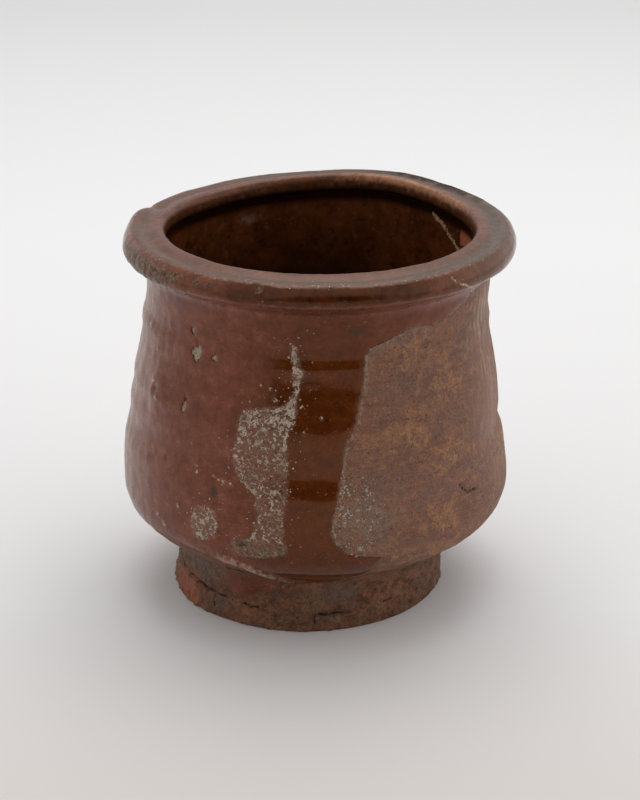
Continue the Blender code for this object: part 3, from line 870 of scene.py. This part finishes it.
def shell(name, along, angle, closed, depth, low, high, attributes, material, node):
    """Closed thin coat between two rises over the form, kept where depth isn't negative."""
    rows, columns = along.shape
    faces = quads(rows, columns, closed)
    kept = faces[(depth.ravel()[faces] >= 0).all(1)]
    base = form(along, angle)
    points = np.concatenate([surface(along, angle, base + rise).reshape(-1, 3) for rise in (high, low)])
    doubled = {label: np.tile(values.ravel(), 2) for label, values in attributes.items()}
    points, faces, doubled = used_only(points, shell_faces(kept, rows * columns), doubled)
    new_piece(name, points, faces.tolist(), doubled, material, node)


def outer_glaze_depth(along, angle):
    """How far inside the outer glaze a place lies, from the flaked zone, the chips and its lower edge."""
    points = smooth_points(along, angle)
    height = points[..., 2]
    depth = -signed_distance(BARE_ZONE, angle, height) + 0.3 * grain(points, 1.6, 11)
    for centre, level, wide, tall in CHIPS:
        across = arc(angle, centre) / wide
        gap = (np.hypot(across, (height - level) / tall) - 1) * min(wide, tall)
        depth = np.minimum(depth, gap + 0.9 * grain(points, 1.5, 12) + 0.7 * grain(points, 0.8, 20))
    end = along_at(GLAZE_END_AT(turn_gap(angle)) + 0.5 * grain(points, 4.0, 13))
    return np.minimum(depth, end - along)


def add_outer_glaze():
    """Coat of the outside, from under the rim to the top of the foot."""
    alongs = spaced(COVE_AT + 0.4, (FOOT_AT + 2.0, 0.48))
    along, angle = np.meshgrid(alongs, COAT_ANGLES, indexing="ij")
    along, angle, depth = trim_to(along, angle, outer_glaze_depth, 0.5)
    points = smooth_points(along, angle)
    height = points[..., 2]
    turn = turn_gap(angle)
    ending = along_at(GLAZE_END_AT(turn)) - along
    lip_line = between(turn, -34, -26, -9, 0)
    bead = bell(ending, 1.0, 1.0) * (0.9 * lip_line + 0.3 * between(turn, -12, -4, 8, 20))
    thin = (1 - fade(ending, 0.2, 5.0)) * fade(turn, 4, 12)
    thin = np.maximum(thin, (1 - fade(ending, 0.2, 2.0)) * (1 - fade(turn, -50, -36)))
    high = GLAZE * (0.6 + 0.4 * fade(depth, 0.0, 1.5)) * (1 - 0.8 * thin) + bead
    high -= JOIN_TAPER * (1 - fade(along, COVE_AT + 0.4, COVE_AT + 1.3))
    rough = 0.06 * grain(points, 2.4, 14) + 0.04 * grain(points, 1.1, 15)
    rivulets = 0.12 * grain(points * RIVULETS, 2.4, 23) * (1 - fade(turn, -62, -40))
    high += (rough + rivulets) * (1 - 0.7 * fade(turn, -24, -10))
    smear = bell(ending, 1.0, 1.5) * lip_line * (1 - 0.5 * fade(turn, -20, -8))
    crumbs = np.zeros_like(angle)
    for *mark, half_size in CRUMBS:
        crumb = hump(angle, height, *mark, half_size, half_size)
        crumbs = np.maximum(crumbs, crumb)
        high += 0.25 * crumb
    strip = between(turn, -34, -2, 18, 40) * (1 - 0.4 * fade(height, 67, 71))
    patch = signed_distance(LIME_PATCH, angle, height)
    spot = signed_distance(LIME_SPOT, angle, height)
    attributes = {
        "amber": strip, "film": np.maximum(fade(patch, -1.0, 0.6), fade(spot, -1.0, 0.8)),
        "whiting": crumbs, "thin": thin, "smear": smear,
        # the haze on the far left is a painted reflection
        "smudge": humps(angle, height, SMUDGES), "painted_haze": hump(angle, height, *LEFT_PAINTED_HAZE),
    }
    shell(
        "outer_glaze_coat", along, angle, True, depth, FLAKE_GAP, high, attributes,
        outer_glaze_finish("brown_lead_glaze"), "outer_glaze",
    )


def add_rim_glaze():
    """Coat of the rim, worn on top."""
    alongs = spaced(LIP_AT + 0.8, (COVE_AT + 0.3, 0.4))
    along, angle = np.meshgrid(alongs, OUTSIDE_ANGLES, indexing="ij")
    points = smooth_points(along, angle)
    height = points[..., 2]
    radius = np.hypot(points[..., 0], points[..., 1])
    high = GLAZE + 0.05 * grain(points, 2.0, 16) + 0.03 * grain(points, 0.9, 17)
    edge = along - RIM_AT
    from_lip = along - LIP_AT
    turn = turn_gap(angle)
    lug = between(turn, -86, -72, -54, -30) * fade(edge, 5.0, 7.0)
    high += lug * (0.2 * grain(points, 1.0, 18) + 0.12 * grain(points, 2.2, 22) + 0.1)
    blobs = humps(angle, height, RIM_BLOBS)
    high += 0.12 * blobs
    high -= JOIN_TAPER * fade(along, COVE_AT - 0.6, COVE_AT + 0.3)
    smoke = 0.3 + 0.7 * between(turn, 12, 60, 150, 179) + 0.4 * fade(-turn, 140, 175)
    smoke += 0.35 * (1 - fade(np.abs(turn), 20, 50))
    attributes = {
        "worn": 1 - fade(edge, 4.3, 6.2), "groove": 0.8 * bell(radius, *GROOVE) * (edge < 6),
        "scorch": hump(angle, radius, *SCORCH), "lug": np.maximum(lug, blobs),
        "smoke": smoke * fade(edge, 0.0, 1.5),
        # the inner face's lower part holds painted shade of the undercut
        "inner": 1 - fade(from_lip, 2.3, 4.0), "under": 1 - fade(from_lip, 1.1, 2.3),
        "lit": bell(from_lip, 4.1, 1.1) * between(turn, 95, 120, 158, 178),
        "amber": between(turn, -36, -22, 24, 40) * (1 - fade(edge, 8.4, 9.8)),
        "scar": 1 - fade(line_distance(RIM_SCRATCH, angle, height), 0.0, 0.55),
        "crumbs": bell(edge, 4.9, 0.9) * (1 - fade(np.abs(turn), 60, 85)),
    }
    shell(
        "rim_glaze_coat", along, angle, True, np.ones_like(along), FLAKE_GAP, high, attributes,
        rim_glaze_finish(), "rim_glaze",
    )


def add_inner_glaze():
    """Lining of the inside, up to the lip."""
    alongs = spaced(INSIDE_AT + 0.6, (LIP_AT - 22, 1.2), (LIP_AT + 0.75, 0.55))
    along, angle = np.meshgrid(alongs, INSIDE_ANGLES, indexing="ij")
    points = smooth_points(along, angle)
    height = points[..., 2]
    turn = turn_gap(angle)
    side = 1 - fade(np.abs(turn), 138, 172) + 0.7 * between(-turn, 90, 125, 140, 170)
    attributes = {
        "scratch": 1 - fade(line_distance(INSIDE_SCRATCH, angle, height), 0.0, 1.1),
        # painted reflection at the back; the chip's colour is painted lighter against the shade
        "bare": hump(angle, height, *INSIDE_CHIP), "painted_reflection": hump(angle, height, *INSIDE_PAINTED_REFLECTION),
        # painted shade: darker deep down, less at the sides, and under the lip
        "painted_depth_shade": np.maximum(1 - fade(height, 56 - 14 * side, 74 - 14 * side), fade(height, 77.6, 79.4)),
    }
    high = GLAZE + 0.04 * grain(points, 3.0, 19)
    high -= LINING_TAPER * fade(along, LIP_AT - 0.4, LIP_AT + 0.5)
    shell(
        "inner_glaze_lining", along, angle, True, np.ones_like(along), FLAKE_GAP, high, attributes,
        inner_glaze_finish(), "inner_glaze",
    )


# Lime crusts: reach of stray grains, their number, radii and share, then the grid and thickness of a crust
STRAY = 4.0
GRAINS_PER_MM2 = 14.0
SMALL_GRAIN = 0.08
LARGE_GRAIN = 0.27
GRAIN_SHARE = 0.07
CRUST_CELL = 0.1
CRUST_RISE = 0.2
CRUST_SLOPE = 0.3
CRUST_SINK = 0.05
CLAY_ROUGHNESS = 0.05
STRAY_MARGIN = (STRAY * DEGREES_PER_MM, STRAY)
# Grid of the run of glaze on the foot, and its margin in degrees and millimetres
RUN_CELL = 0.35
RUN_MARGIN = (1.5, 1.0)


def outline_box(outline, margin):
    """Lowest and highest angle and height of an outline, with a margin round it."""
    corners = np.array(outline, float)
    return corners.min(0) - margin, corners.max(0) + margin


def stray_grains(outline, alongs, angles, seed):
    """Depth inside the nearest of the grains scattered in and round an outline, on a grid on the wall."""
    dice = np.random.default_rng(seed)
    low, high = outline_box(outline, STRAY_MARGIN)
    area = math.radians(high[0] - low[0]) * WALL_RADIUS * (high[1] - low[1])
    count = int(area * GRAINS_PER_MM2)
    angle = dice.uniform(low[0], high[0], count)
    height = dice.uniform(low[1], high[1], count)
    size = SMALL_GRAIN + (LARGE_GRAIN - SMALL_GRAIN) * dice.random(count) ** 3
    inside = signed_distance(outline, angle, height)
    cluster = 1 + 0.9 * grain(smooth_points(along_at(height), angle), 1.5, seed + 1)
    chosen = dice.random(count) < GRAIN_SHARE * np.exp(np.minimum(inside, 0) / 1.5) * cluster
    field = np.full((len(alongs), len(angles)), -1.0)
    i, j = np.ogrid[:len(alongs), :len(angles)]
    step = angles[1] - angles[0]
    for g, h, r in zip(angle[chosen], height[chosen], size[chosen]):
        row = (along_at(h) - alongs[0]) / CRUST_CELL
        column = (g - angles[0]) / step
        span = int(r / CRUST_CELL) + 3
        rows, columns = (slice(max(int(at) - span, 0), max(int(at) + span, 0)) for at in (row, column))
        here = r - CRUST_CELL * np.hypot(i[rows] - row, j[:, columns] - column)
        field[rows, columns] = np.maximum(field[rows, columns], here)
    return field


def crust_depth(outline, fill, along, angle, seed):
    """Depth inside the crust at places on the wall: crumbs, joined into a cover where fill is high."""
    points = smooth_points(along, angle)
    height = points[..., 2]
    inside = signed_distance(outline, angle, height)
    depth = np.full(along.shape, -1.0)
    near = inside > -1.5
    there = points[near]
    edge = inside[near] + 0.7 * grain(there, 2.0, seed)
    cover = fill(height[near]) + 0.3 * np.exp(-np.abs(edge - 0.4) / 0.6)
    cover += 0.35 * grain(there, 3.0, seed + 1)
    cover = cover * fade(edge, -0.3, 0.4) - 2 * (1 - fade(edge, -0.5, 0.3))
    crumbs = 0.55 * grain(there, 0.95, seed + 2) + 0.5 * grain(there, 0.42, seed + 3)
    crumbs += 0.35 * grain(there, 0.22, seed + 4)
    depth[near] = 0.35 * (crumbs - 0.42 + 0.5 * cover)
    return depth


def add_crust(name, outline, base, material, node, seed, fill, stain_top=0.0):
    """Grainy crust on the wall inside an outline, with gaps and stray grains, stained below a height."""
    low, high = outline_box(outline, STRAY_MARGIN)
    angles = np.arange(low[0], high[0], CRUST_CELL * DEGREES_PER_MM)
    alongs = np.arange(along_at(high[1]), along_at(low[1]), CRUST_CELL)
    along, angle = np.meshgrid(alongs, angles, indexing="ij")
    grains = stray_grains(outline, alongs, angles, seed)
    depth = np.maximum(grains, crust_depth(outline, fill, along, angle, seed))
    touched = depth > -0.5
    ragged = np.zeros_like(depth)
    ragged[touched] = 0.06 * grain(smooth_points(along[touched], angle[touched]), 0.4, seed)
    depth += ragged
    slopes = np.gradient(depth, CRUST_CELL)
    along, angle, depth = pull_to_edge(along, angle, depth, *slopes, CRUST_CELL)
    crown = base + FLAKE_GAP + CRUST_RISE * np.sqrt(np.clip(depth, 0, CRUST_SLOPE) / CRUST_SLOPE)
    attributes = {"stain": 1 - fade(SECTION.height_at(along), stain_top - 1, stain_top + 1.5)}
    under = base - CRUST_SINK
    shell(name, along, angle, False, depth, under, crown, attributes, material, node)


def add_foot_run():
    """Run of glaze down the front of the foot."""
    low, high = outline_box(FOOT_RUN, RUN_MARGIN)
    angles = np.arange(low[0], high[0], RUN_CELL * math.degrees(1.0 / FOOT_RADIUS))
    alongs = np.arange(along_at(high[1]), along_at(low[1]), RUN_CELL)
    along, angle = np.meshgrid(alongs, angles, indexing="ij")

    def depth_at(a, g):
        points = smooth_points(a, g)
        return signed_distance(FOOT_RUN, g, points[..., 2]) + 0.5 * grain(points, 1.8, 51)

    along, angle, depth = trim_to(along, angle, depth_at, RUN_CELL)
    crown = 0.06 + 0.4 * fade(depth, 0, 2.5)
    attributes = {"amber": 0 * along + 0.25, "thin": 1 - fade(depth, 0.2, 2.2)}
    shell(
        "foot_glaze_drip", along, angle, False, depth, -0.1, crown, attributes,
        outer_glaze_finish("glaze_run"), "foot_glaze_run",
    )


# Stage


def add_stage():
    """Pale floor with painted shade far off and near the camera, a soft lamp, and a studio that is dark
    towards the camera and brighter on the right.
    """
    mesh = bpy.data.meshes.new("floor")
    corners = [(x * FLOOR_HALF_M, y * FLOOR_HALF_M, 0) for x, y in ((-1, -1), (1, -1), (1, 1), (-1, 1))]
    mesh.from_pydata(corners, [], [(0, 1, 2, 3)])
    floor = put_in_scene("floor", mesh)
    f = Finish("pale_floor")
    depth = f.add("SeparateXYZ", {0: f.place})["Y"]
    colour = f.over(
        FLOOR_COLOUR,
        # painted shade of the floor far off and near the camera
        (f.ramp(depth, *FAR_FLOOR), FAR_FLOOR_PAINTED_SHADE),
        (f.ramp(depth, *NEAR_FLOOR), NEAR_FLOOR_PAINTED_SHADE),
    )
    mesh.materials.append(f.finished(colour, 0.9))

    lamp = bpy.data.lights.new("overhead_softbox", "AREA")
    lamp.shape = "RECTANGLE"
    lamp.size, lamp.size_y = LAMP_SIZE_M
    lamp.energy = LAMP_WATTS
    holder = put_in_scene("overhead_softbox", lamp)
    holder.location = LAMP_PLACE_M
    holder.rotation_euler = Vector(LAMP_AIM).to_track_quat("-Z", "Y").to_euler()

    world = bpy.data.worlds.new("studio")
    bpy.context.scene.world = world
    world.use_nodes = True
    tree = world.node_tree
    place = add_node(tree, "TexCoord", {})["Generated"]
    towards = add_node(tree, "VectorMath", {0: place, 1: DARK_SIDE}, operation="DOT_PRODUCT")["Value"]
    beside = add_node(tree, "SeparateXYZ", {0: place})["X"]
    parts = {0: map_range(tree, towards, *DARK_FADE), 1: map_range(tree, beside, *BRIGHT_FADE)}
    total = add_node(tree, "Math", parts, operation="ADD")[0]
    seen = add_node(tree, "LightPath", {})["Is Camera Ray"]
    strength = add_node(tree, "Mix", {0: seen, 2: total, 3: BACKDROP_STRENGTH})[0]
    background = tree.nodes["Background"]
    feed(tree, background.inputs["Strength"], strength)
    feed(tree, background.inputs["Color"], (1, 1, 1, 1))


def add_camera():
    """Camera at the photograph's viewing angle."""
    lens = bpy.data.cameras.new("camera")
    lens.lens = CAMERA_LENS
    lens.clip_start = 0.01
    holder = put_in_scene("camera", lens)
    rise = math.radians(CAMERA_ELEVATION)
    holder.location = Vector((
        CAMERA_AIM[0], -CAMERA_DISTANCE * math.cos(rise), CAMERA_AIM[2] + CAMERA_DISTANCE * math.sin(rise),
    )) * MM
    holder.rotation_euler = (math.pi / 2 - rise, 0, 0)
    bpy.context.scene.camera = holder


def patch_fill(height):
    """The lime patch is dense at its top and along the streak, and thin lower down."""
    streak = 0.45 * fade(height, 46, 54) + 0.35 * fade(height, 57, 60)
    return 0.25 + streak + 0.3 * (1 - fade(height, 26, 29))


def even_fill(share):
    """The same cover at every height."""
    return lambda height: share + 0 * height


add_clay_body()
add_inner_glaze()
add_rim_glaze()
add_outer_glaze()
add_foot_run()
LIME = lime_finish()
add_crust("lime_patch_crust", LIME_PATCH, GLAZE, LIME, "lime_patch", 21, patch_fill, 27.0)
add_crust("lime_spot_crust", LIME_SPOT, GLAZE, LIME, "lime_spot", 31, even_fill(0.5))
add_crust("lime_edge_crust", LIME_EDGE, CLAY_ROUGHNESS, LIME, "lime_edge", 41, even_fill(0.05))
add_stage()
add_camera()
bpy.context.scene.view_settings.view_transform = "Standard"
